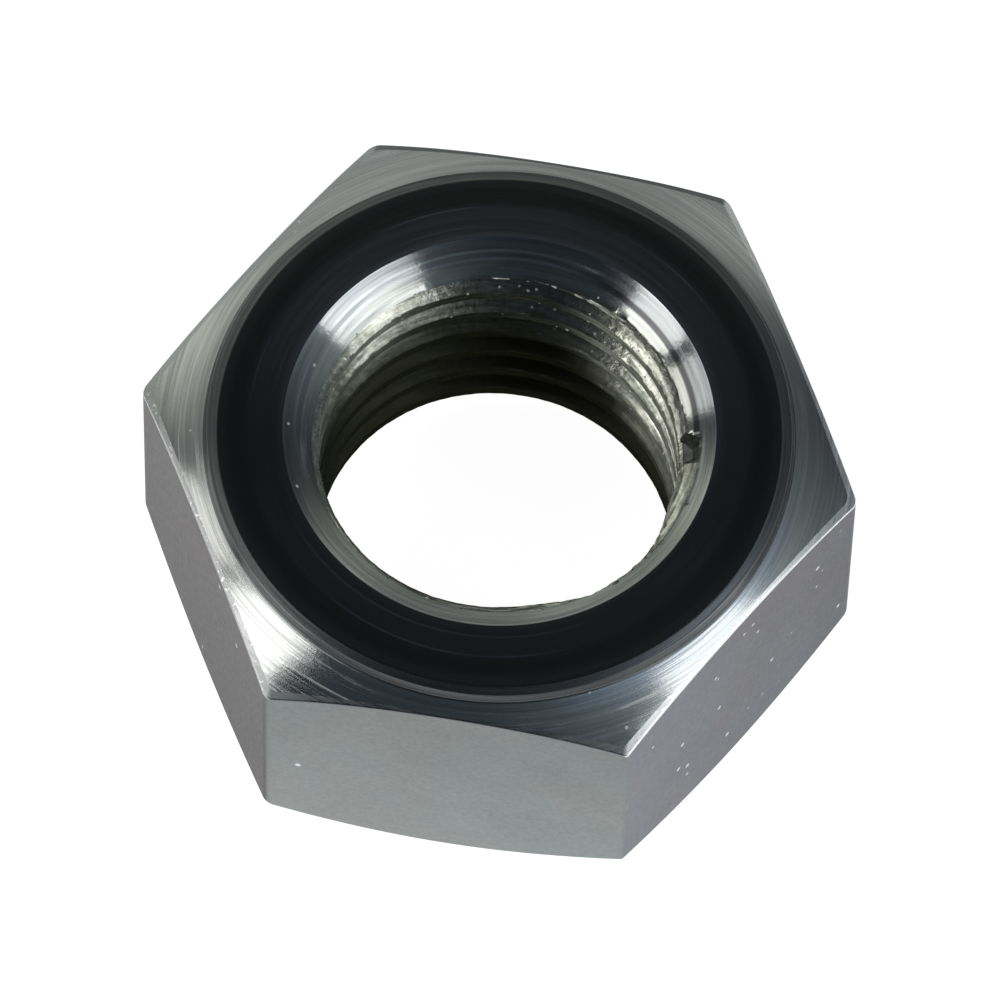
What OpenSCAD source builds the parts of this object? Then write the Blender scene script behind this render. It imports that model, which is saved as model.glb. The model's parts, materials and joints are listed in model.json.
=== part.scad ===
// Hexagon nut with a raised washer face, chamfered on both ends and bored for a fine thread.
// The nut stands on its plain end, with the thread axis on +Z and two corners on the X axis.

/* [Hexagon] */
// Width across flats (mm)
across_flats = 22; // [21:0.5:30]
// Height from the plain end to the washer face (mm)
nut_h = 11; // [9:0.1:14]
// Radius of the six upright edges of the drawn hexagon bar (mm)
upright_edge_r = 0.5; // [0.2:0.05:1]

/* [Chamfers] */
// Mean slope of the chamfer round the washer face, measured from the face (degrees)
top_chamfer_angle = 22; // [15:1:30]
// Height by which the middle of that chamfer bulges above a straight cone (mm)
top_chamfer_crown = 0.1; // [0:0.01:0.2]
// Slope of the chamfer round the plain end, measured from the face (degrees)
plain_chamfer_angle = 30; // [15:1:30]
// Distance from a flat to where the plain end's chamfer starts (mm)
plain_chamfer_inset = 0.2; // [0.05:0.05:1]

/* [Washer face] */
// Distance from a flat to the edge of the washer face (mm)
washer_face_inset = 1.15; // [0.8:0.05:1.5]
// Width of the shallow bevel round the washer face (mm)
rim_bevel_w = 0.35; // [0.1:0.05:0.5]
// Drop of that bevel from the washer face to its rim (mm)
rim_bevel_h = 0.06; // [0.02:0.01:0.12]
// Width of the steep wall below the rim (mm)
shoulder_w = 0.1; // [0.05:0.05:0.3]
// Step from the foot of that wall up to the washer face (mm)
washer_face_h = 0.4; // [0.15:0.05:0.6]

/* [Thread] */
// Nominal diameter of the thread (mm)
thread_d = 14; // [8:1:16]
// Pitch of the thread (mm)
thread_pitch = 1.5; // [0.5:0.25:2]
// Share of a full thread's height that the drilled hole leaves for the thread (percent)
thread_engagement = 72; // [55:1:85]
// Width by which each countersink's mouth clears the thread, on the radius (mm)
countersink_clearance = 0.55; // [0.2:0.05:0.8]
// Included angle of the two countersinks (degrees)
countersink_angle = 120; // [90:5:130]

/* [Hidden] */

zinc_plate = [0.72, 0.74, 0.74];

// The hexagon: flats face +Y and -Y, corners lie on +X and -X
corner_turn = 60;
corners = 360 / corner_turn;
flat_r = across_flats / 2;
corner_r = flat_r / cos(corner_turn / 2);
corner_arc_r = (flat_r - upright_edge_r) / cos(corner_turn / 2);
corner_arc_steps = 6;

// The turned outside: washer face, bevel, shoulder, two chamfers and the plain end
washer_face_r = flat_r - washer_face_inset;
rim_r = washer_face_r + rim_bevel_w;
rim_z = nut_h - rim_bevel_h;
foot_r = rim_r + shoulder_w;
foot_z = nut_h - washer_face_h;
plain_face_r = flat_r - plain_chamfer_inset;
turning_allowance = 1;
blank_r = corner_r + turning_allowance;
crown_reach = corner_r - foot_r;
crown_steps = 10;
crown_step = (blank_r - foot_r) / crown_steps;
plain_chamfer_z = (blank_r - plain_face_r) * tan(plain_chamfer_angle);

// The hole: the crests of the thread, opened by a countersink at each end
sharp_v_h = thread_pitch * cos(30);
full_thread_h = sharp_v_h * 3 / 4;
bore_r = thread_d / 2 - full_thread_h * thread_engagement / 100;
countersink_r = thread_d / 2 + countersink_clearance;
countersink_depth = (countersink_r - bore_r) / tan(countersink_angle / 2);
tool_overrun = 1;
tool_r = countersink_r + tool_overrun * tan(countersink_angle / 2);

$fn = 120;

// One upright edge's arc, as points of the hexagon bar's outline
function corner_arc(centre_angle) = [
    for (a = [-corner_turn / 2 : corner_turn / corner_arc_steps : corner_turn / 2])
        corner_arc_r * [cos(centre_angle), sin(centre_angle)]
            + upright_edge_r * [cos(centre_angle + a), sin(centre_angle + a)]
];

// Height of the crowned chamfer at a distance out from the foot of the shoulder: a straight cone from
// there to the corners, with a parabola's bulge on it
function chamfer_z(out) =
    foot_z - out * tan(top_chamfer_angle)
        + 4 * top_chamfer_crown * out * (crown_reach - out) / pow(crown_reach, 2);

// The crowned chamfer's section, from the outside of the blank in to the foot of the shoulder
function crowned_chamfer() = [
    for (out = [blank_r - foot_r : -crown_step : crown_step / 2])
        [foot_r + out, chamfer_z(out)]
];

// Hexagon bar with rounded upright edges, cut to the height of the nut
module hexagon_bar() {
    linear_extrude(nut_h)
        polygon([for (i = [0 : corners - 1]) each corner_arc(i * corner_turn)]);
}

// What a lathe leaves of a round blank: where it cuts the bar's flats, each chamfer makes an arch
module turned_outside() {
    rotate_extrude()
        polygon(concat(
            [
                [0, 0],
                [plain_face_r, 0],
                [blank_r, plain_chamfer_z]
            ],
            crowned_chamfer(),
            [
                [foot_r, foot_z],
                [rim_r, rim_z],
                [washer_face_r, nut_h],
                [0, nut_h]
            ]
        ));
}

// Hole through the nut at the thread's crests, with a countersink at each end
module threaded_hole() {
    rotate_extrude()
        polygon([
            [0, -tool_overrun],
            [tool_r, -tool_overrun],
            [bore_r, countersink_depth],
            [bore_r, nut_h - countersink_depth],
            [tool_r, nut_h + tool_overrun],
            [0, nut_h + tool_overrun]
        ]);
}

// The whole nut is one piece of bar
module nut_body() {
    color(zinc_plate)
        difference() {
            intersection() {
                hexagon_bar();
                turned_outside();
            }
            threaded_hole();
        }
}

nut_body();
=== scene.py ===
"""Hex nut in bright zinc plate, with its real helical thread, on a pale studio floor."""
import json
import math

import bmesh
import bpy
import numpy as np
from mathutils import Matrix, Vector


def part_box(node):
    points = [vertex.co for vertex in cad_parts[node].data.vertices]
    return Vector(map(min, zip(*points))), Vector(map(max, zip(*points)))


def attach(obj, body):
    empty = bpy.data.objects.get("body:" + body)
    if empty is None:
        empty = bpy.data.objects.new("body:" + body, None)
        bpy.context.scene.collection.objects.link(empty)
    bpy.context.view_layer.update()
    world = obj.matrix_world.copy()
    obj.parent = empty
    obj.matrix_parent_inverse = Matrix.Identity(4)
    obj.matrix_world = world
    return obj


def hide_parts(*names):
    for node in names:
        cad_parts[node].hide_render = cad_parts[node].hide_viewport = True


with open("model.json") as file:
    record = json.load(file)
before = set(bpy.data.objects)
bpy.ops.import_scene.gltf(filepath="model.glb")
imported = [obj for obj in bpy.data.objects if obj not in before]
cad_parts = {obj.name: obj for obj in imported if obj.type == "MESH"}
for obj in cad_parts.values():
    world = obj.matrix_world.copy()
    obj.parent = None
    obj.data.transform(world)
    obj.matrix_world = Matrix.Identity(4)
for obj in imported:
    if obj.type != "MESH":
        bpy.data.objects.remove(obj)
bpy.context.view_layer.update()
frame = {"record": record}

MM = 0.001

# ---------------------------------------------------------------- sizes, from the frame
_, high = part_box("nut_body")
mounts = {m["name"]: m for m in frame["record"]["mounts"]}
top = high.z
flat_r = high.y
crest_r = mounts["thread"]["dims"]["r_mm"] * MM
thread_span = mounts["thread"]["dims"]["length_mm"] * MM

# The same choices as the solid's, in metres
upright_edge_r = 0.5 * MM
crisp_edge_r = 0.15 * MM          # one upright edge is still crisp, the front right one
crisp_corner = 5
washer_face_r = flat_r - 1.15 * MM
rim_r = washer_face_r + 0.35 * MM
rim_z = top - 0.06 * MM
foot_r = rim_r + 0.1 * MM
foot_z = top - 0.4 * MM
chamfer_end_r = flat_r / math.cos(math.radians(30))
top_chamfer_angle = math.radians(22)
top_chamfer_crown = 0.1 * MM
plain_chamfer_angle = math.radians(30)
plain_face_r = flat_r - 0.2 * MM

# The thread: 60 degree metric form, right-handed
pitch = 1.5 * MM
root_r = 7.0 * MM
flank_w = (root_r - crest_r) * math.tan(math.radians(30))
root_flat = pitch / 8
crest_flat = pitch - root_flat - 2 * flank_w
thread_edge_break = 0.03 * MM
crest_z_at_zero = 1.015 * MM      # height of a crest's middle where it passes +X
crest_wear = 0.015 * MM

# Each countersink is a cone, opened by this much for each step up
countersink_slope = math.tan(math.radians(60))
countersink_depth = (top - thread_span) / 2
mouth_r = crest_r + countersink_depth * countersink_slope

# The thread's first ridge at the washer end is torn and chipped. Places along it are in turns
first_ridge_turn = 5
tear_start, tear_end, tear_fade = 5.78, 6.21, 0.06
tear_depth = 0.17 * MM
tear_unevenness = 0.05 * MM
ridge_unevenness = 0.008 * MM
notch_middle, notch_half_width = 6.017, 0.015
notch_sill = 0.12 * MM            # how far over the second ridge's crest the painted shade seen through the notch starts
notch_shade = 0.012               # how far past the notch, in turns, the second ridge gets the painted shade too
chips = [                         # middle, half width, depth, and how much steeper than a wave its ends are
    (5.889, 0.085, 0.33 * MM, 1.5),
    (notch_middle, notch_half_width, 0.46 * MM, 4.0),
]
chipped_from, chipped_to = 5.75, 6.0

# Unevenness along the thread: waves to a turn, and the seed of their places
ragged_waves, ragged_seed = (19, 31, 53, 83, 127), 4
wear_waves, wear_seed = (7.3, 17.1, 41.7, 90.3), 9
wave_gain = 0.6                   # keeps most of the waves' sum between its ends

# Small edge radii that a real nut has
arch_edge_r = 0.09 * MM
plain_edge_r = 0.06 * MM
mouth_edge_r = 0.05 * MM
ring_edge_r = 0.5 * MM
rim_edge_r = 0.04 * MM
shoulder_foot_r = 0.05 * MM
hold = 0.02 * MM                  # keeps a flat face flat right up to its rounded edge
slope_reach = 4                   # edge radii from an edge to where the crowned chamfer's slope is taken

# How finely the mesh is divided
corners = 6
corner_turn = math.radians(60)
arc_steps = 8
columns_per_flat = 64
round_steps, edge_steps = 3, 4
washer_face_rows, chamfer_rows, flat_rows = 6, 8, 5
plain_chamfer_rows, plain_face_rows = 2, 5
crest_steps, flank_steps, root_steps = 3, 7, 2
thread_turn_margin = 2            # turns of thread laid out past each end, then cut off by the mouth
touching = 0.002 * MM             # how near the groove lies to what is cut away and still shows
rounding_error = 1e-9             # in metres
crest_depth = 0.01                # share of the depth down to which the thread counts as crest
weld_distance = 0.0005 * MM
sharp_from = math.radians(40)


# ---------------------------------------------------------------- the nut's own mesh
def hexagon_columns():
    """Angle and reach of every upright column round the rounded hexagon, anticlockwise."""
    arcs = [corner_arc(i) for i in range(corners)]
    arcs.append([(a + 2 * math.pi, reach) for a, reach in arcs[0]])
    points = []
    for i in range(corners):
        facing = (i + 0.5) * corner_turn
        start, end = arcs[i][-1][0], arcs[i + 1][0][0]
        points += arcs[i]
        for k in range(1, columns_per_flat):
            a = start + (end - start) * k / columns_per_flat
            points.append((a, flat_r / math.cos(a - facing)))
    return np.array(points)


def corner_arc(i):
    """Angles and reaches of the columns round one upright edge."""
    corner = i * corner_turn
    edge_r = crisp_edge_r if i == crisp_corner else upright_edge_r
    arc_centre = (flat_r - edge_r) / math.cos(corner_turn / 2)
    arc = []
    for k in range(arc_steps + 1):
        a = corner - corner_turn / 2 + corner_turn * k / arc_steps
        x = arc_centre * math.cos(corner) + edge_r * math.cos(a)
        y = arc_centre * math.sin(corner) + edge_r * math.sin(a)
        beside_corner = math.remainder(math.atan2(y, x) - corner, 2 * math.pi)
        arc.append((corner + beside_corner, math.hypot(x, y)))
    return arc


def rounded(before, corner, after, radius, steps):
    """Points of a section's corner eased by a small radius, with a holding point on each side."""
    a, b, c = (np.array(p, float) for p in (before, corner, after))
    u = (a - b) / np.linalg.norm(a - b)
    v = (c - b) / np.linalg.norm(c - b)
    half = math.acos(np.clip(u @ v, -1, 1)) / 2
    reach = radius / math.tan(half)
    centre = b + (u + v) / np.linalg.norm(u + v) * radius / math.sin(half)
    start = b + u * reach - centre
    end = b + v * reach - centre
    turn = math.pi - 2 * half
    arc = []
    for k in range(steps + 1):
        start_share = math.sin(turn * (1 - k / steps))
        end_share = math.sin(turn * k / steps)
        arc.append(centre + (start_share * start + end_share * end) / math.sin(turn))
    return [b + u * (reach + hold)] + arc + [b + v * (reach + hold)]


def between(a, b, count):
    """Evenly spaced points strictly between two points."""
    a, b = np.array(a, float), np.array(b, float)
    return [a + (b - a) * k / (count + 1) for k in range(1, count + 1)]


def crowned(r):
    """Height of the crowned top chamfer at radius r."""
    share = (r - foot_r) / (chamfer_end_r - foot_r)
    bulge = 4 * top_chamfer_crown * share * (1 - share)
    return foot_z - (r - foot_r) * math.tan(top_chamfer_angle) + bulge


def chamfer_point(r):
    """Point of the crowned top chamfer at radius r."""
    return r, crowned(r)


def plain_arch_point(reach):
    """Point where a column meets the plain end's chamfer."""
    return reach, (reach - plain_face_r) * math.tan(plain_chamfer_angle)


def marked(points, region):
    """Points of a section, each with the region below it."""
    return [(p[0], p[1], region) for p in points]


def washer_end_section(reach):
    """The washer end at one column, from its mouth over the washer face and the chamfer to the flat."""
    inside_mouth = (mouth_r - mouth_edge_r * countersink_slope, top - mouth_edge_r)
    mouth, ring_edge = (mouth_r, top), (washer_face_r, top)
    rim, foot, arch = (rim_r, rim_z), (foot_r, foot_z), chamfer_point(reach)
    beside_foot = chamfer_point(foot_r + slope_reach * shoulder_foot_r)
    beside_arch = chamfer_point(reach - slope_reach * arch_edge_r)
    mouth_round = rounded(inside_mouth, mouth, ring_edge, mouth_edge_r, round_steps)[1:]
    ring_round = rounded(mouth, ring_edge, rim, ring_edge_r, round_steps)
    rim_round = rounded(ring_edge, rim, foot, rim_edge_r, edge_steps)
    foot_round = rounded(rim, foot, beside_foot, shoulder_foot_r, round_steps)
    arch_round = rounded(beside_arch, arch, plain_arch_point(reach), arch_edge_r, edge_steps)
    start, end = foot_round[-1][0], arch_round[0][0]
    radii = [start + (end - start) * k / (chamfer_rows + 1) for k in range(1, chamfer_rows + 1)]
    washer_face = mouth_round + between(mouth_round[-1], ring_round[0], washer_face_rows) + ring_round
    return (
        marked(washer_face, "washer_face")
        + marked(rim_round + foot_round, "shoulder")
        + marked([chamfer_point(r) for r in radii], "top_chamfer")
        + marked(arch_round[:-1], "arch_edge")
        + marked(arch_round[-1:], "flat")
    )


def plain_end_section(reach, flat_start):
    """The plain end at one column, from the upper end of the flat down to the mouth."""
    edge, mouth = (plain_face_r, 0), (mouth_r, 0)
    inside_mouth = (mouth_r - mouth_edge_r * countersink_slope, mouth_edge_r)
    arch = plain_arch_point(reach)
    arch_round = rounded(chamfer_point(reach), arch, edge, plain_edge_r, round_steps)
    face_round = rounded(arch, edge, mouth, plain_edge_r, round_steps)
    mouth_round = rounded(edge, mouth, inside_mouth, mouth_edge_r, round_steps)[:-1]
    flat = between(flat_start, arch_round[0], flat_rows) + arch_round[:-1]
    chamfer = arch_round[-1:] + between(arch_round[-1], face_round[0], plain_chamfer_rows) + face_round[:-1]
    face = face_round[-1:] + between(face_round[-1], mouth_round[0], plain_face_rows) + mouth_round
    return marked(flat, "flat") + marked(chamfer, "plain_chamfer") + marked(face, "plain_face")


def outside_section(reach):
    """The outside at one column, as (radius, height, region) from the top mouth to the plain mouth."""
    washer_end = washer_end_section(reach)
    return washer_end + plain_end_section(reach, washer_end[-1][:2])


def thread_samples():
    """Places along one pitch, as (share of the pitch, share of the depth), from one crest's middle on."""
    crest_end = crest_flat / 2 / pitch
    next_crest = 1 - crest_end
    flank = flank_w / pitch
    ease = thread_edge_break / pitch
    root_start, root_end = crest_end + flank, next_crest - flank
    shallow, deep = ease / flank, 1 - ease / flank
    spans = [                     # start, end, steps, and the depth at the start and at the end
        (0, crest_end - ease, crest_steps, 0, 0),
        (crest_end + ease, root_start - ease, flank_steps, shallow, deep),
        (root_start + ease, root_end - ease, root_steps, 1, 1),
        (root_end + ease, next_crest - ease, flank_steps, deep, shallow),
        (next_crest + ease, 1, crest_steps, 0, 0),
    ]
    places = []
    for start, end, steps, start_depth, end_depth in spans:
        for k in range(steps + 1):
            share = start + (end - start) * k / steps
            places.append((share, start_depth + (end_depth - start_depth) * k / steps))
    return np.array(places[:-1])


def uneven(turns, waves, seed):
    """Repeatable unevenness from 0 to 1 along the thread, with the given numbers of waves to a turn."""
    random = np.random.default_rng(seed)
    total = sum(np.cos(2 * math.pi * (wave * turns + random.uniform())) for wave in waves)
    return np.clip(0.5 + total / math.sqrt(2 * len(waves)) * wave_gain, 0, 1)


def ridge_place(angle):
    """Place along the thread, in turns, where its first ridge passes one column."""
    return angle / (2 * math.pi) + (first_ridge_turn if angle > math.pi else first_ridge_turn + 1)


def damaged_ridge(angle, z):
    """Radius that the tears and chips cut the thread's first ridge back to, at heights z of one column."""
    turns = ridge_place(angle)
    ridge_z = crest_z_at_zero + pitch * turns
    torn_here = np.clip(min(turns - tear_start, tear_end - turns) / tear_fade, 0, 1)
    ragged = uneven(turns, ragged_waves, ragged_seed)
    rise = np.clip((z - ridge_z) / crest_flat + 0.5, 0, 1)
    roughness = ridge_unevenness + (tear_unevenness - ridge_unevenness) * torn_here
    cut = crest_r + roughness * ragged + tear_depth * torn_here * rise
    for middle, half_width, depth, steepness in chips:
        away = min(abs(turns - middle) / half_width, 1)
        cut = cut + depth * min(steepness * math.cos(away * math.pi / 2) ** 2, 1)
    return np.where(z > ridge_z - pitch / 2, cut, 0)


def cleared(angle, z):
    """Radius that the countersinks and the damage cut the hole out to, at heights z of one column."""
    cones = mouth_r - np.minimum(z, top - z) * countersink_slope
    return np.maximum(cones, damaged_ridge(angle, z))


def groove_rows(angle, places, turns):
    """The groove at one column, in rows that follow the helix, as heights, radii and depth shares."""
    lift = crest_z_at_zero + pitch * angle / (2 * math.pi)
    turn = np.repeat(np.arange(-thread_turn_margin, turns), len(places))
    share, depth = np.tile(places.T, turns + thread_turn_margin)
    z = lift + pitch * (turn + share)
    wear = crest_wear * uneven(turn + angle / (2 * math.pi), wear_waves, wear_seed) * (1 - depth)
    return z, crest_r + wear + (root_r - crest_r - wear) * depth, depth


def put_row_on_crossings(z, radii, others):
    """Moves the nearest row of a section onto each place where its radii cross the others."""
    ahead = radii - others
    for k in np.nonzero(np.sign(ahead[:-1]) != np.sign(ahead[1:]))[0]:
        share = ahead[k] / (ahead[k] - ahead[k + 1])
        nearest = k if share < 0.5 else k + 1
        crossing = z[k] + share * (z[k + 1] - z[k])
        radii[nearest] = radii[k] + share * (radii[k + 1] - radii[k])
        z[nearest] = crossing


def hole_section(angle, places, turns):
    """The hole at one column, from the plain mouth up, as radii, heights and the kind of surface at each."""
    z, groove, depth = groove_rows(angle, places, turns)
    put_row_on_crossings(z, groove, cleared(angle, z))
    lip_turn = math.pi / 2 - math.atan(countersink_slope)
    inside_lip = mouth_edge_r * math.tan(lip_turn / 2) * math.sin(lip_turn)
    z = np.clip(z, inside_lip, top - inside_lip)
    clear = cleared(angle, z)
    at_lip = (z <= inside_lip) | (z >= top - inside_lip)
    radius = np.where(at_lip, clear, np.maximum(groove, clear))
    on_groove = (groove > clear - touching) & ~at_lip
    on_damage = ~on_groove & (clear <= damaged_ridge(angle, z) + rounding_error)
    on_cone = ~on_groove & ~on_damage
    kind = np.where(on_cone, "countersink", "thread")
    kind = np.where(on_groove & (depth < crest_depth), "thread_crest", kind)
    return radius, z, damaged_kinds(ridge_place(angle), z, kind, on_damage, on_cone)


def damaged_kinds(place, z, kind, on_damage, on_cone):
    """Kinds of surface at one column, with the first ridge's chipped stretch and the painted shade in and
    past its notch marked.
    """
    if chipped_from < place < chipped_to:
        kind = np.where(on_damage, "chipped", kind)
    past_notch = place - notch_middle
    if -notch_half_width < past_notch < notch_half_width + notch_shade:
        second_crest = crest_z_at_zero + pitch * (place - 1)
        root_above_it = crest_z_at_zero + pitch * (place - 0.5)
        dark_from = second_crest + crest_flat / 2 + notch_sill
        dark_to = top if past_notch < notch_half_width else root_above_it
        kind = np.where(~on_cone & (z > dark_from) & (z < dark_to), "notch", kind)
    return kind


def hole_region(kind, next_kind):
    """Material region of the face between two neighbouring places of a hole's section."""
    for first in ("notch", "countersink", "chipped"):
        if first in (kind, next_kind):
            return first
    return "thread_crest" if kind == next_kind == "thread_crest" else "thread"


def nut_points(angles, outside, hole):
    """Every point of the mesh: column by column, down the outside and then up through the hole."""
    points = []
    for a, outer, (radii, heights, _) in zip(angles, outside, hole):
        r = np.concatenate([[p[0] for p in outer], radii])
        z = np.concatenate([[p[1] for p in outer], heights])
        points.append(np.stack((r * math.cos(a), r * math.sin(a), z), axis=1))
    return np.concatenate(points)


def nut_faces(outside, hole, per_turn):
    """Faces between neighbouring columns, with their regions. The helix is a turn up after the last one."""
    count = len(outside)
    rows_out, rows_in = len(outside[0]), len(hole[0][0])
    rows = rows_out + rows_in
    faces, regions = [], []

    def face(column, row, next_row, far_row, far_next_row, region):
        near, far = column * rows, (column + 1) % count * rows
        faces.append((near + row, near + next_row, far + far_next_row, far + far_row))
        regions.append(region)

    for j in range(count):
        shift = per_turn if j == count - 1 else 0
        for i in range(rows_out - 1):
            face(j, i, i + 1, i, i + 1, outside[j][i + 1][2])
        face(j, rows_out - 1, rows_out, rows_out - 1, rows_out, "countersink")
        kind = hole[j][2]
        for i in range(rows_in - 1):
            far_row = min(i + shift, rows_in - 1)
            far_next_row = min(i + 1 + shift, rows_in - 1)
            region = hole_region(kind[i], kind[i + 1])
            face(j, rows_out + i, rows_out + i + 1, rows_out + far_row, rows_out + far_next_row, region)
        face(j, rows - 1, 0, rows - 1, 0, "countersink")
    return faces, regions


def nut_mesh(name, materials):
    """One closed mesh: outside rows and helical rows of the hole, joined at the two mouths."""
    angles, reaches = hexagon_columns().T
    places = thread_samples()
    turns = int(math.ceil(top / pitch)) + thread_turn_margin
    outside = [outside_section(reach) for reach in reaches]
    hole = [hole_section(a, places, turns) for a in angles]
    faces, regions = nut_faces(outside, hole, len(places))
    mesh = bpy.data.meshes.new(name)
    mesh.from_pydata(nut_points(angles, outside, hole).tolist(), [], faces)
    for material in materials.values():
        mesh.materials.append(material)
    slots = list(materials)
    mesh.polygons.foreach_set("material_index", [slots.index(region) for region in regions])
    mesh.validate()
    piece = bpy.data.objects.new(name, mesh)
    bpy.context.scene.collection.objects.link(piece)
    merge_closed(mesh)
    mesh.shade_smooth()
    mesh.set_sharp_from_angle(angle=sharp_from)
    return piece


def merge_closed(mesh):
    """Welds the rows that the two mouths cut off, and turns every face outwards."""
    bm = bmesh.new()
    bm.from_mesh(mesh)
    bmesh.ops.remove_doubles(bm, verts=bm.verts, dist=weld_distance)
    bmesh.ops.recalc_face_normals(bm, faces=bm.faces)
    bm.to_mesh(mesh)
    bm.free()


# ---------------------------------------------------------------- materials
# White specks: painted glints; on the flats they also sit on small pits.
glint_white = (0.9, 0.9, 0.9, 1)
speck_roughness = 0.75
satin_speck_roughness = 0.6
torn_glint_white = (0.95, 0.95, 0.92, 1)
score_roughness = 0.26            # how much rougher a scored line is than the metal beside it
deep_roughness = 0.28             # how much rougher the thread is where the plating is thin, down the bore
near_thread_light_gain = 1.6            # how much brighter the thread's near side is than its back, a painted light
relief_depth = 0.01 * MM
torn_relief_depth = 0.05 * MM

# Marks round the thread axis: how fine they are across, to a metre, and how short along
turning_marks = (9000.0, 1.6)
scored_lines = (6500.0, 1.3)
tap_streaks = (9000.0, 3.5)
climb = -0.7                      # how much a step up counts across the marks, against a step outwards

# Specks: how closely they can lie, to a metre, and their size against that
turned_specks = (1300.0, 0.10)
flat_specks = (1150.0, 0.14)
torn_specks = (2600.0, 0.18)

# Other mottling, to a metre
grain_scale, tear_scale, glint_scale = 5200.0, 4500.0, 6000.0
mottle_scale, patch_scale, hue_scale = 420.0, 300.0, 230.0


class Nodes:
    """Short names for adding and linking a material's nodes."""

    factor_input = 3              # a vector maths node's, when it scales
    color_inputs = (6, 7)         # a mix node's, when it mixes colours
    color_output = 2

    def __init__(self, tree):
        self.tree = tree

    def add(self, kind, **settings):
        node = self.tree.nodes.new(kind)
        for key, value in settings.items():
            setattr(node, key, value)
        return node

    def put(self, value, socket):
        if isinstance(value, bpy.types.NodeSocket):
            self.tree.links.new(value, socket)
        else:
            socket.default_value = value

    def math(self, operation, a, b=0.0, clamp=False):
        node = self.add("ShaderNodeMath", operation=operation, use_clamp=clamp)
        self.put(a, node.inputs[0])
        self.put(b, node.inputs[1])
        return node.outputs[0]

    def vector(self, operation, a, b=(0, 0, 0)):
        node = self.add("ShaderNodeVectorMath", operation=operation)
        self.put(a, node.inputs[0])
        self.put(b, node.inputs[1])
        return node.outputs["Value" if operation in ("LENGTH", "DOT_PRODUCT") else "Vector"]

    def scaled(self, vector, factor):
        node = self.add("ShaderNodeVectorMath", operation="SCALE")
        self.put(vector, node.inputs[0])
        self.put(factor, node.inputs[self.factor_input])
        return node.outputs["Vector"]

    def noise(self, vector, scale, detail=2.0, roughness=0.5):
        node = self.add("ShaderNodeTexNoise")
        self.put(vector, node.inputs["Vector"])
        self.put(scale, node.inputs["Scale"])
        self.put(detail, node.inputs["Detail"])
        self.put(roughness, node.inputs["Roughness"])
        return node.outputs["Fac"]

    def remap(self, value, low_in, high_in, low_out, high_out, interpolation="LINEAR"):
        node = self.add("ShaderNodeMapRange", interpolation_type=interpolation)
        self.put(value, node.inputs["Value"])
        ends = {"From Min": low_in, "From Max": high_in, "To Min": low_out, "To Max": high_out}
        for key, end in ends.items():
            self.put(end, node.inputs[key])
        return node.outputs["Result"]

    def mix(self, share, a, b):
        node = self.add("ShaderNodeMix", data_type="RGBA")
        self.put(share, node.inputs["Factor"])
        for color, socket in zip((a, b), self.color_inputs):
            self.put(color, node.inputs[socket])
        return node.outputs[self.color_output]


def metal(name, **constants):
    """A new material with one metallic shader, and its node helper."""
    material = bpy.data.materials.new(name)
    material.use_nodes = True
    nodes = Nodes(material.node_tree)
    shader = material.node_tree.nodes["Principled BSDF"]
    shader.inputs["Metallic"].default_value = 1.0
    for key, value in constants.items():
        shader.inputs[key].default_value = value
    return material, nodes, shader


def smooth_step(nodes, value, start, end, low_out=0.0, high_out=1.0):
    """Eased change from the low to the high output while the value goes from start to end."""
    return nodes.remap(value, start, end, low_out, high_out, "SMOOTHSTEP")


def axes_of(nodes, place):
    """The X, Y and Z of a place."""
    split = nodes.add("ShaderNodeSeparateXYZ")
    nodes.put(place, split.inputs[0])
    return split.outputs["X"], split.outputs["Y"], split.outputs["Z"]


def turned_coordinates(nodes, across, along):
    """Object coordinates unrolled round the thread axis: fine across the tool marks, long along them."""
    place = nodes.add("ShaderNodeTexCoord").outputs["Object"]
    flat = nodes.vector("MULTIPLY", place, (1, 1, 0))
    radius = nodes.vector("LENGTH", flat)
    around = nodes.vector("MULTIPLY", nodes.vector("NORMALIZE", flat), (along, along, 0))
    rise = nodes.math("ADD", radius, nodes.math("MULTIPLY", axes_of(nodes, place)[2], climb))
    lift = nodes.add("ShaderNodeCombineXYZ")
    nodes.put(nodes.math("MULTIPLY", rise, across), lift.inputs["Z"])
    return nodes.vector("ADD", around, lift.outputs[0]), radius, place


def specks(nodes, place, scale, size, share):
    """Mask of scattered specks: how closely they can lie, their size against that, and the share present."""
    cell = nodes.add("ShaderNodeTexVoronoi")
    nodes.put(place, cell.inputs["Vector"])
    nodes.put(scale, cell.inputs["Scale"])
    pick = nodes.add("ShaderNodeSeparateColor")
    nodes.put(cell.outputs["Color"], pick.inputs[0])
    inside = smooth_step(nodes, cell.outputs["Distance"], size, size * 0.6)
    return nodes.math("MULTIPLY", inside, nodes.math("LESS_THAN", pick.outputs[0], share))


def crowded(nodes, place, centre, reach, least):
    """Share of specks present: full round a centre, thinned to the least share beyond the reach."""
    away = nodes.vector("LENGTH", nodes.vector("SUBTRACT", place, centre))
    return smooth_step(nodes, away, reach, reach * 0.3, least, 1.0)


def weighted(nodes, *parts):
    """Sum of (value, weight) parts."""
    total = 0.0
    for value, weight in parts:
        total = nodes.math("ADD", nodes.math("MULTIPLY", value, weight), total)
    return total


def faint_ring(nodes, radius, place, middle, half_width, strength, patches):
    """Mask of a thin ring at one radius, broken up by patches given as (scale, start, end)."""
    scale, start, end = patches
    away = nodes.math("ABSOLUTE", nodes.math("SUBTRACT", radius, middle))
    ring = nodes.math("MULTIPLY", smooth_step(nodes, away, half_width, 0.0), strength)
    return nodes.math("MULTIPLY", ring, smooth_step(nodes, nodes.noise(place, scale), start, end))


def tangent_round_axis(nodes, shader):
    """Stretches the shader's highlights square to marks that run round the thread axis."""
    tangent = nodes.add("ShaderNodeTangent", direction_type="RADIAL", axis="Z")
    nodes.put(tangent.outputs[0], shader.inputs["Tangent"])


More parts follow.
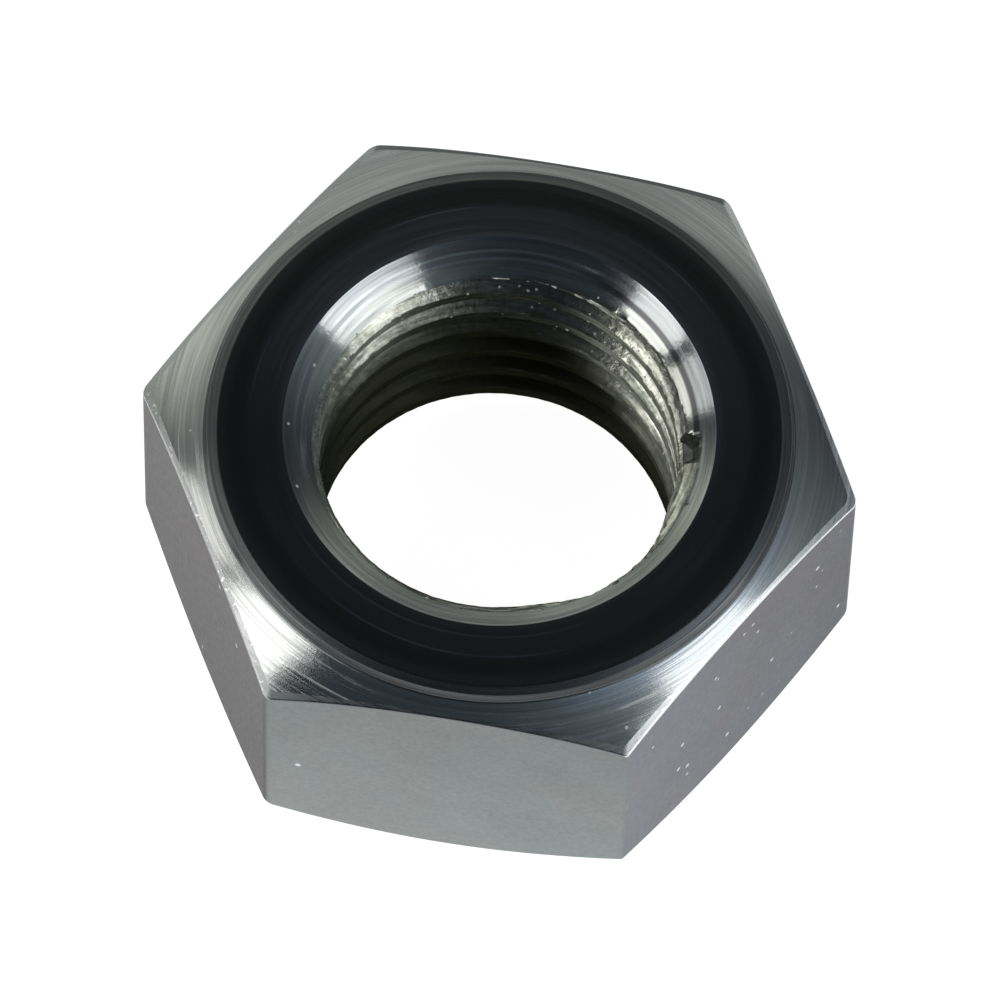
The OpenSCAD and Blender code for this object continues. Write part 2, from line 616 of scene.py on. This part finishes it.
def relief_on(nodes, shader, height, strength, distance):
    """Fine relief on the shader's surface."""
    relief = nodes.add("ShaderNodeBump")
    relief.inputs["Strength"].default_value = strength
    relief.inputs["Distance"].default_value = distance
    nodes.put(height, relief.inputs["Height"])
    nodes.put(relief.outputs[0], shader.inputs["Normal"])


def turned(name, dark, light, rough, anisotropy, scored, bump, nicks, speckled, shade=None):
    """Lathe-turned metal: fine marks round the axis, scored lines that catch every lamp, and a few white
    specks that are painted glints.
    """
    material, nodes, shader = metal(name, **{"Anisotropic Rotation": 0.25})
    marks, radius, place = turned_coordinates(nodes, *turning_marks)
    fine = nodes.noise(marks, 1.0, 3.0, 0.6)
    lines, _, _ = turned_coordinates(nodes, *scored_lines)
    line = smooth_step(nodes, nodes.noise(lines, 1.0, 3.0, 0.65), 0.49, 0.70)
    patch = smooth_step(nodes, nodes.noise(place, patch_scale), 0.30, 0.70)
    score = nodes.math("MULTIPLY", nodes.math("MULTIPLY", line, patch), scored)
    grain = nodes.noise(place, grain_scale, 2.0, 0.6)
    speck = specks(nodes, place, *turned_specks, speckled)
    color = nodes.mix(nodes.remap(fine, 0.35, 0.65, 0.0, 1.0), dark, light)
    if shade:
        color = shade(nodes, color, radius, place)
    nodes.put(nodes.mix(speck, color, glint_white), shader.inputs["Base Color"])
    gloss = nodes.remap(fine, 0.3, 0.7, rough * 1.3, rough * 0.7)
    gloss = nodes.math("ADD", gloss, nodes.math("MULTIPLY", score, score_roughness))
    gloss = nodes.math("MAXIMUM", gloss, nodes.math("MULTIPLY", speck, speck_roughness))
    nodes.put(gloss, shader.inputs["Roughness"])
    nodes.put(nodes.remap(score, 0.0, 1.0, anisotropy, anisotropy * 0.45), shader.inputs["Anisotropic"])
    tangent_round_axis(nodes, shader)
    relief_on(nodes, shader, weighted(nodes, (fine, 1.0), (grain, nicks)), bump, relief_depth)
    return material


def washer_face_tones_and_painted_light(nodes, color, radius, place):
    """The washer face: lighter and bluer inside than outside, the inside darker on the near side by painted
    shade, a paler rim, a painted highlight at the mouth's edge, and two faint rings.
    """
    inner_far, inner_near_shaded = (0.70, 0.69, 0.63, 1), (0.52, 0.505, 0.45, 1)
    outer_tone, rim_tone = (0.40, 0.385, 0.335, 1), (0.58, 0.56, 0.50, 1)
    mouth_tone, ring_tone = (1.30, 1.32, 1.36, 1), (1.25, 1.28, 1.35, 1)
    # Painted shade: the inside of the face is darker on the near side.
    near = smooth_step(nodes, axes_of(nodes, place)[1], 3 * MM, -3 * MM)
    inner = nodes.mix(near, inner_far, inner_near_shaded)
    tone = nodes.mix(smooth_step(nodes, radius, 8.45 * MM, 9.1 * MM), inner, outer_tone)
    tone = nodes.mix(smooth_step(nodes, radius, 9.3 * MM, 9.8 * MM), tone, rim_tone)
    # Painted highlight at the mouth's edge, weaker on the near side.
    mouth = smooth_step(nodes, radius, 7.95 * MM, 7.60 * MM, 0.0, 0.6)
    mouth = nodes.math("MULTIPLY", mouth, nodes.remap(near, 0.0, 1.0, 1.0, 0.2))
    tone = nodes.mix(mouth, tone, mouth_tone)
    patches = (170.0, 0.45, 0.65)
    for middle, strength in ((8.0 * MM, 0.5), (8.75 * MM, 0.7)):
        ring = faint_ring(nodes, radius, place, middle, 0.07 * MM, strength, patches)
        tone = nodes.mix(ring, tone, ring_tone)
    return nodes.vector("MULTIPLY", color, tone)


def arch_painted_light_and_shade(nodes, color, radius, place):
    """The arches: a painted shade dulls them at the front and back and on the left, apart from painted glints
    in spots there, and they keep their bright base on the right.
    """
    arch_shade, left_arch_shade = (0.20, 0.215, 0.22, 1), (0.50, 0.51, 0.52, 1)
    side, ahead, _ = axes_of(nodes, place)
    start, end = chamfer_end_r / 2 - 0.2 * MM, chamfer_end_r / 2
    # Painted glints: bright spots on the left arch, towards the front.
    spot = smooth_step(nodes, nodes.noise(place, glint_scale), 0.60, 0.68)
    spot = nodes.math("MULTIPLY", spot, smooth_step(nodes, ahead, 2 * MM, -1 * MM))
    left = nodes.mix(spot, left_arch_shade, color)
    # Painted shade dulls the arches at the front and back, and on the left between the glints.
    tone = nodes.mix(smooth_step(nodes, side, start, end), arch_shade, color)
    return nodes.mix(smooth_step(nodes, side, -start, -end), tone, left)


def countersink_painted_light_and_shade(nodes, color, radius, place):
    """The countersink: duller at its mouth, lighter on the near side by painted light, with two faint rings
    and a painted shade, a dark band where the thread's groove crosses it.
    """
    far_tone, near_lit_tone = (1.0, 1.02, 0.98, 1), (1.30, 1.32, 1.28, 1)
    mouth_tone, ring_tone = (0.75, 0.77, 0.80, 1), (1.35, 1.45, 1.52, 1)
    groove_shade_color = (0.05, 0.048, 0.06, 1)
    _, y, _ = axes_of(nodes, place)
    far_half = smooth_step(nodes, y, -3 * MM, 1 * MM)
    # Painted light: the near side of the countersink is lighter.
    near = smooth_step(nodes, y, -4.2 * MM, -6.4 * MM)
    outer = nodes.math("MULTIPLY", smooth_step(nodes, radius, 6.85 * MM, 7.05 * MM), far_half)
    tone = nodes.mix(outer, nodes.mix(near, far_tone, near_lit_tone), mouth_tone)
    patches = (260.0, 0.40, 0.60)
    for middle in (7.14 * MM, 6.90 * MM):
        ring = faint_ring(nodes, radius, place, middle, 0.08 * MM, far_half, patches)
        tone = nodes.mix(ring, tone, ring_tone)
    color = nodes.vector("MULTIPLY", color, tone)
    # Painted shade: a dark band where the thread's groove crosses the countersink.
    return nodes.mix(painted_groove_shade(nodes, radius, place), color, groove_shade_color)


def painted_groove_shade(nodes, radius, place):
    """Mask of the painted shade of the thread's groove: a dark band at the back right of the washer end's
    countersink.
    """
    x, y, z = axes_of(nodes, place)
    strength = 0.85
    band_start = smooth_step(nodes, radius, 6.74 * MM, 6.84 * MM)
    band_end = smooth_step(nodes, radius, 7.04 * MM, 6.94 * MM)
    right = smooth_step(nodes, x, 1.6 * MM, 3.4 * MM)
    back = smooth_step(nodes, y, 0.6 * MM, 1.4 * MM)
    top_end = nodes.math("GREATER_THAN", z, top / 2)
    band = nodes.math("MULTIPLY", band_start, band_end)
    side = nodes.math("MULTIPLY", right, back)
    share = nodes.math("MULTIPLY", top_end, strength)
    return nodes.math("MULTIPLY", nodes.math("MULTIPLY", band, side), share)


# Where the right flat's pits and painted glints crowd most, and the torn thread's painted glints crowd most
pits_and_glints_middle = (10.0 * MM, -4.7 * MM, 5.2 * MM)
sparkling_middle = (2.4 * MM, 6.0 * MM, 9.3 * MM)


def satin_flat(name):
    """The drawn flats: satin and finely mottled, with painted light and shade giving each side its own tone
    and a gradient along it, and a few bright specks, painted glints on small pits.
    """
    # Each flat's zinc tone is painted light and shade: the front lightest, the left darkest.
    front_zinc_lit, left_zinc_shaded, right_zinc_lit = (0.290, 0.308, 0.306), (0.153, 0.147, 0.148), (0.245, 0.249, 0.274)
    warm, cool = (1.03, 1.00, 0.99, 1), (0.97, 1.01, 1.01, 1)
    material, nodes, shader = metal(name, **{"Specular Tint": (0.58, 0.58, 0.58, 1)})
    place = nodes.add("ShaderNodeTexCoord").outputs["Object"]
    mottle = nodes.noise(place, mottle_scale, 3.0, 0.6)
    grain = nodes.noise(place, grain_scale, 3.0, 0.6)
    side, _, rise = axes_of(nodes, place)
    corner_x = chamfer_end_r / 2
    low_z, high_z = 0.5 * MM, top - 1.5 * MM
    left = smooth_step(nodes, side, -corner_x + 0.1 * MM, -corner_x - 0.1 * MM)
    right = smooth_step(nodes, side, corner_x - 0.1 * MM, corner_x + 0.1 * MM)
    # Painted shading: darker upwards on the front, lighter upwards on the left, darker outwards on the right.
    front_painted_gradient = nodes.scaled(front_zinc_lit, nodes.remap(rise, low_z, high_z, 1.13, 0.89))
    left_painted_gradient = nodes.scaled(left_zinc_shaded, nodes.remap(rise, low_z, high_z, 0.88, 1.13))
    right_painted_gradient = nodes.scaled(right_zinc_lit, nodes.remap(side, corner_x, 2 * corner_x, 1.20, 0.80))
    grey = nodes.mix(right, nodes.mix(left, front_painted_gradient, left_painted_gradient), right_painted_gradient)
    tone = nodes.remap(weighted(nodes, (mottle, 0.45), (grain, 0.55)), 0.35, 0.65, 0.92, 1.08)
    grey = nodes.scaled(grey, tone)
    hue = smooth_step(nodes, nodes.noise(place, hue_scale, 2.0), 0.35, 0.65)
    grey = nodes.vector("MULTIPLY", grey, nodes.mix(hue, warm, cool))
    present = crowded(nodes, place, pits_and_glints_middle, 5.5 * MM, 0.30)
    present = nodes.math("MULTIPLY", present, nodes.remap(right, 0.0, 1.0, 0.25, 1.0))
    speck = specks(nodes, place, *flat_specks, present)
    nodes.put(nodes.mix(speck, grey, glint_white), shader.inputs["Base Color"])
    gloss = nodes.remap(grain, 0.3, 0.7, 0.38, 0.30)
    gloss = nodes.math("MAXIMUM", gloss, nodes.math("MULTIPLY", speck, satin_speck_roughness))
    nodes.put(gloss, shader.inputs["Roughness"])
    relief_on(nodes, shader, weighted(nodes, (grain, 1.0), (speck, 0.8)), 0.25, relief_depth)
    return material


def bore_light(nodes, place):
    """How bright the thread stays down the bore, fading sooner on the -X side, and how near a side is."""
    x, _, z = axes_of(nodes, place)
    right = nodes.math("MAXIMUM", x, 0.0)
    aside = smooth_step(nodes, nodes.math("ABSOLUTE", nodes.math("ADD", x, 1.0 * MM)), 1.8 * MM, 4.8 * MM)
    depth = weighted(nodes, (z, 1.0), (x, 0.29), (right, 0.16), (aside, 1.1 * MM), (1.0, -1.1 * MM))
    return smooth_step(nodes, depth, 3.8 * MM, 7.6 * MM), aside


def torn_thread(name, dark, light, lit_side_gain, deep, rough, bump, tint):
    """Tapped metal: streaks along the thread, broken up by small tears and white specks that are painted
    glints, dark down the bore, with painted light brightening the bore's sides and near side.
    """
    material, nodes, shader = metal(name, **{
        "Anisotropic": 0.6,
        "Anisotropic Rotation": 0.25,
        "Specular Tint": (tint, tint, tint, 1),
    })
    streaks, _, place = turned_coordinates(nodes, *tap_streaks)
    streak = nodes.noise(streaks, 1.0, 2.0, 0.5)
    tear = nodes.noise(place, tear_scale, 2.0, 0.6)
    both = weighted(nodes, (streak, 0.7), (tear, 0.3))
    present = crowded(nodes, place, sparkling_middle, 6.5 * MM, 0.20)
    speck = specks(nodes, place, *torn_specks, present)
    lit, aside = bore_light(nodes, place)
    color = nodes.mix(nodes.remap(both, 0.38, 0.62, 0.0, 1.0), dark, light)
    # Painted light: the bore's left and right sides, where the lamps reflect, and its near side are made
    # brighter.
    color = nodes.scaled(color, nodes.remap(aside, 0.0, 1.0, 1.0, lit_side_gain))
    near = smooth_step(nodes, axes_of(nodes, place)[1], 0.8 * MM, -1.0 * MM)
    color = nodes.scaled(color, nodes.remap(near, 0.0, 1.0, 1.0, near_thread_light_gain))
    color = nodes.mix(speck, color, torn_glint_white)
    nodes.put(nodes.mix(lit, deep, color), shader.inputs["Base Color"])
    gloss = nodes.remap(both, 0.3, 0.7, rough * 1.3, rough * 0.7)
    gloss = nodes.math("MAXIMUM", gloss, nodes.math("MULTIPLY", speck, speck_roughness))
    gloss = nodes.math("ADD", gloss, nodes.remap(lit, 0.0, 1.0, deep_roughness, 0.0))
    nodes.put(gloss, shader.inputs["Roughness"])
    tangent_round_axis(nodes, shader)
    relief_on(nodes, shader, both, bump, torn_relief_depth)
    return material


def turned_materials():
    """The surfaces that were cut on a lathe."""
    chamfer = turned(
        "zinc_turned_chamfer", (0.44, 0.45, 0.46, 1), (0.62, 0.63, 0.62, 1),
        rough=0.15, anisotropy=0.92, scored=1.0, bump=0.5, nicks=0.18, speckled=0.25,
    )
    # The arches' near-white base is a painted highlight, kept on the right and in spots on the left.
    arch = turned(
        "zinc_arch_edge", (0.85, 0.86, 0.87, 1), (0.97, 0.97, 0.97, 1),
        rough=0.32, anisotropy=0.3, scored=0.5, bump=0.6, nicks=0.5, speckled=0.0, shade=arch_painted_light_and_shade,
    )
    # Dark base: a painted shade of the step's wall and its foot.
    shoulder = turned(
        "zinc_shoulder", (0.11, 0.115, 0.115, 1), (0.21, 0.22, 0.225, 1),
        rough=0.30, anisotropy=0.7, scored=0.3, bump=0.3, nicks=0.2, speckled=0.10,
    )
    ring = turned(
        "zinc_washer_face", (0.34, 0.35, 0.37, 1), (0.48, 0.49, 0.51, 1),
        rough=0.12, anisotropy=0.8, scored=0.0, bump=0.06, nicks=0.1, speckled=0.0, shade=washer_face_tones_and_painted_light,
    )
    sink = turned(
        "zinc_countersink", (0.36, 0.37, 0.38, 1), (0.58, 0.58, 0.56, 1),
        rough=0.18, anisotropy=0.92, scored=0.8, bump=0.7, nicks=0.22, speckled=0.60, shade=countersink_painted_light_and_shade,
    )
    return chamfer, arch, shoulder, ring, sink


def thread_materials():
    """The surfaces that the tap cut or tore."""
    # The thread's dark bases are partly its duller tapped metal and partly painted shade, standing in for the
    # shaded floor under the nut that the thread mirrors; the crests' near-black most of all.
    bore_deep = (0.040, 0.042, 0.030, 1)
    thread = torn_thread(
        "zinc_thread_flank", (0.12, 0.13, 0.11, 1), (0.42, 0.42, 0.37, 1),
        lit_side_gain=1.7, deep=bore_deep, rough=0.28, bump=0.8, tint=0.8,
    )
    crest = torn_thread(
        "zinc_thread_crest", (0.024, 0.027, 0.023, 1), (0.055, 0.057, 0.048, 1),
        lit_side_gain=6.0, deep=(0.024, 0.026, 0.017, 1), rough=0.40, bump=0.8, tint=0.35,
    )
    chipped = torn_thread(
        "zinc_chipped_ridge", (0.22, 0.23, 0.185, 1), (0.42, 0.43, 0.35, 1),
        lit_side_gain=1.0, deep=bore_deep, rough=0.42, bump=0.4, tint=0.6,
    )
    # A painted shade: dark in the notch and on the second ridge's flank seen through it and just past it.
    notch = torn_thread(
        "zinc_notch_painted_shade", (0.050, 0.055, 0.052, 1), (0.125, 0.135, 0.125, 1),
        lit_side_gain=1.0, deep=bore_deep, rough=0.42, bump=0.5, tint=0.4,
    )
    return thread, crest, chipped, notch


def nut_materials():
    """The material of each region of the nut's mesh."""
    chamfer, arch, shoulder, ring, sink = turned_materials()
    thread, crest, chipped, notch = thread_materials()
    flat = satin_flat("zinc_flat")
    return {
        "washer_face": ring,
        "shoulder": shoulder,
        "top_chamfer": chamfer,
        "arch_edge": arch,
        "flat": flat,
        "plain_chamfer": chamfer,
        "plain_face": chamfer,
        "countersink": sink,
        "thread": thread,
        "thread_crest": crest,
        "chipped": chipped,
        "notch": notch,
    }


# ---------------------------------------------------------------- studio and camera
view_elevation = math.radians(63.948)
view_turn = math.radians(7.9)
view_roll = math.radians(1.838)
view_distance = 463.16 * MM
view_lens = 473.5
aim_right = 0.094 * MM
aim_down = 0.0269 * MM

# The lamps and the room stand square to the camera, and their uprights lean back from it
room_lean = math.radians(15)
room_right = Vector((math.cos(view_turn), math.sin(view_turn), 0))
level_back = Vector((-math.sin(view_turn), math.cos(view_turn), 0))
room_back = level_back * math.cos(room_lean) - Vector((0, 0, math.sin(room_lean)))
room_up = level_back * math.sin(room_lean) + Vector((0, 0, math.cos(room_lean)))
lamp_distance = 0.5

floor_half = 3.0
floor_drop = 0.02 * MM
floor_grey = (0.30, 0.30, 0.30, 1)
floor_glow = 0.95                 # how near to white the camera and the metal see the floor

# The room is dark where a direction's upward share passes this, which is what the washer face mirrors
overhead_dark_from, overhead_dark_to = 0.945, 0.975
room_dark = (0.024, 0.029, 0.036)

# The room's soft glows: bearing, height, tightness and brightness
glows = [
    (110, 0.72, 6, (0.40, 0.40, 0.37)),
    (340, 0.82, 20, (0.25, 0.25, 0.20)),
    (140, 0.60, 60, (0.38, 0.40, 0.33)),
    (60, 0.60, 60, (0.41, 0.42, 0.39)),
    (140, 0.72, 60, (0.35, 0.36, 0.32)),
    (100, 0.10, 6, (0.08, 0.10, 0.10)),
    (330, 0.45, 6, (0.17, 0.21, 0.25)),
    (340, 0.96, 60, (0.45, 0.65, 0.93)),
    (230, 0.96, 6, (0.014, 0.023, 0.028)),
]


def camera():
    """The photograph's camera, as fitted to the nut."""
    centre = Vector((0, 0, top / 2))
    forward = Vector((
        -math.sin(view_turn) * math.cos(view_elevation),
        math.cos(view_turn) * math.cos(view_elevation),
        -math.sin(view_elevation),
    ))
    upright = room_right.cross(forward)
    right = room_right * math.cos(view_roll) + upright * math.sin(view_roll)
    up = upright * math.cos(view_roll) - room_right * math.sin(view_roll)
    data = bpy.data.cameras.new("camera")
    data.sensor_width = 36
    data.lens = view_lens
    data.clip_start = 0.01
    data.clip_end = 10
    eye = bpy.data.objects.new("camera", data)
    bpy.context.scene.collection.objects.link(eye)
    spot = centre - forward * view_distance + right * aim_right - up * aim_down
    axes = Matrix((right, up, -forward)).transposed().to_4x4()
    eye.matrix_world = Matrix.Translation(spot) @ axes
    bpy.context.scene.camera = eye


def panel(name, side, front, back, lower, upper, radiance, color):
    """A lamp panel on one side of the nut. Its edges are given for a distance of one from the nut."""
    width = (back - front) * lamp_distance
    height = (upper - lower) * lamp_distance
    data = bpy.data.lights.new(name, "AREA")
    data.shape = "RECTANGLE"
    data.size = width
    data.size_y = height
    data.energy = radiance * math.pi * width * height
    data.color = color
    lamp = bpy.data.objects.new(name, data)
    bpy.context.scene.collection.objects.link(lamp)
    spot = room_right * side + room_back * (front + back) / 2 + room_up * (lower + upper) / 2
    axes = Matrix((room_back * side, room_up, room_right * side)).transposed().to_4x4()
    lamp.matrix_world = Matrix.Translation(spot * lamp_distance) @ axes
    lamp.visible_camera = False


def floor():
    """A wide pale floor. What the camera, gloss and glass see of it is near white, and shadows stay."""
    mesh = bpy.data.meshes.new("floor")
    square = [(x * floor_half, y * floor_half, 0) for x, y in ((-1, -1), (1, -1), (1, 1), (-1, 1))]
    mesh.from_pydata(square, [], [(0, 1, 2, 3)])
    piece = bpy.data.objects.new("floor", mesh)
    bpy.context.scene.collection.objects.link(piece)
    piece.location.z = -floor_drop
    material = bpy.data.materials.new("floor_paper")
    material.use_nodes = True
    nodes = Nodes(material.node_tree)
    material.node_tree.nodes.clear()
    path = nodes.add("ShaderNodeLightPath")
    seen = nodes.math("MAXIMUM", path.outputs["Is Camera Ray"], path.outputs["Is Glossy Ray"])
    seen = nodes.math("MAXIMUM", seen, path.outputs["Is Transmission Ray"])
    paper = nodes.add("ShaderNodeBsdfDiffuse")
    paper.inputs["Color"].default_value = floor_grey
    glow = nodes.add("ShaderNodeEmission")
    nodes.put(nodes.math("MULTIPLY", seen, floor_glow), glow.inputs["Strength"])
    both = nodes.add("ShaderNodeAddShader")
    nodes.put(paper.outputs[0], both.inputs[0])
    nodes.put(glow.outputs[0], both.inputs[1])
    out = nodes.add("ShaderNodeOutputMaterial")
    nodes.put(both.outputs[0], out.inputs["Surface"])
    mesh.materials.append(material)


def room_direction(bearing, height):
    """Unit direction in the room: bearing in degrees from the right, height as the share pointing up."""
    level = math.sqrt(1 - height * height)
    around = room_right * math.cos(math.radians(bearing)) + room_back * math.sin(math.radians(bearing))
    return around * level + room_up * height


def studio_world():
    """A dim room: soft glows of its walls and windows, each widest where its tightness is low."""
    world = bpy.data.worlds.new("studio")
    world.use_nodes = True
    bpy.context.scene.world = world
    nodes = Nodes(world.node_tree)
    direction = nodes.add("ShaderNodeTexCoord").outputs["Generated"]
    total = (0.0, 0.0, 0.0)
    for bearing, height, tightness, color in glows:
        facing = nodes.vector("DOT_PRODUCT", direction, room_direction(bearing, height))
        spread = nodes.math("POWER", nodes.math("MAXIMUM", facing, 0.0), tightness)
        total = nodes.vector("ADD", nodes.scaled(color, spread), total)
    up = nodes.vector("DOT_PRODUCT", direction, room_up)
    total = nodes.scaled(total, smooth_step(nodes, up, overhead_dark_to, overhead_dark_from))
    total = nodes.vector("ADD", total, room_dark)
    nodes.put(total, world.node_tree.nodes["Background"].inputs["Color"])


nut = nut_mesh("hex_nut", nut_materials())
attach(nut, "root")
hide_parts("nut_body")

camera()
floor()
studio_world()
warm_white, soft_white, cool_white = (1.0, 0.985, 0.94), (1.0, 0.99, 0.96), (0.98, 0.985, 0.98)
panel("lamp_left_back", -1, front=-0.13, back=0.23, lower=0.1, upper=2.7, radiance=1.3, color=warm_white)
panel("lamp_left_front", -1, front=-0.77, back=-0.24, lower=0.1, upper=3.05, radiance=2.1, color=soft_white)
panel("lamp_right", 1, front=-1.0, back=-0.25, lower=0.1, upper=2.95, radiance=1.65, color=cool_white)
panel("lamp_right_low", 1, front=-1.5, back=-1.0, lower=0.1, upper=1.75, radiance=1.5, color=cool_white)
bpy.context.scene.view_settings.view_transform = "Standard"
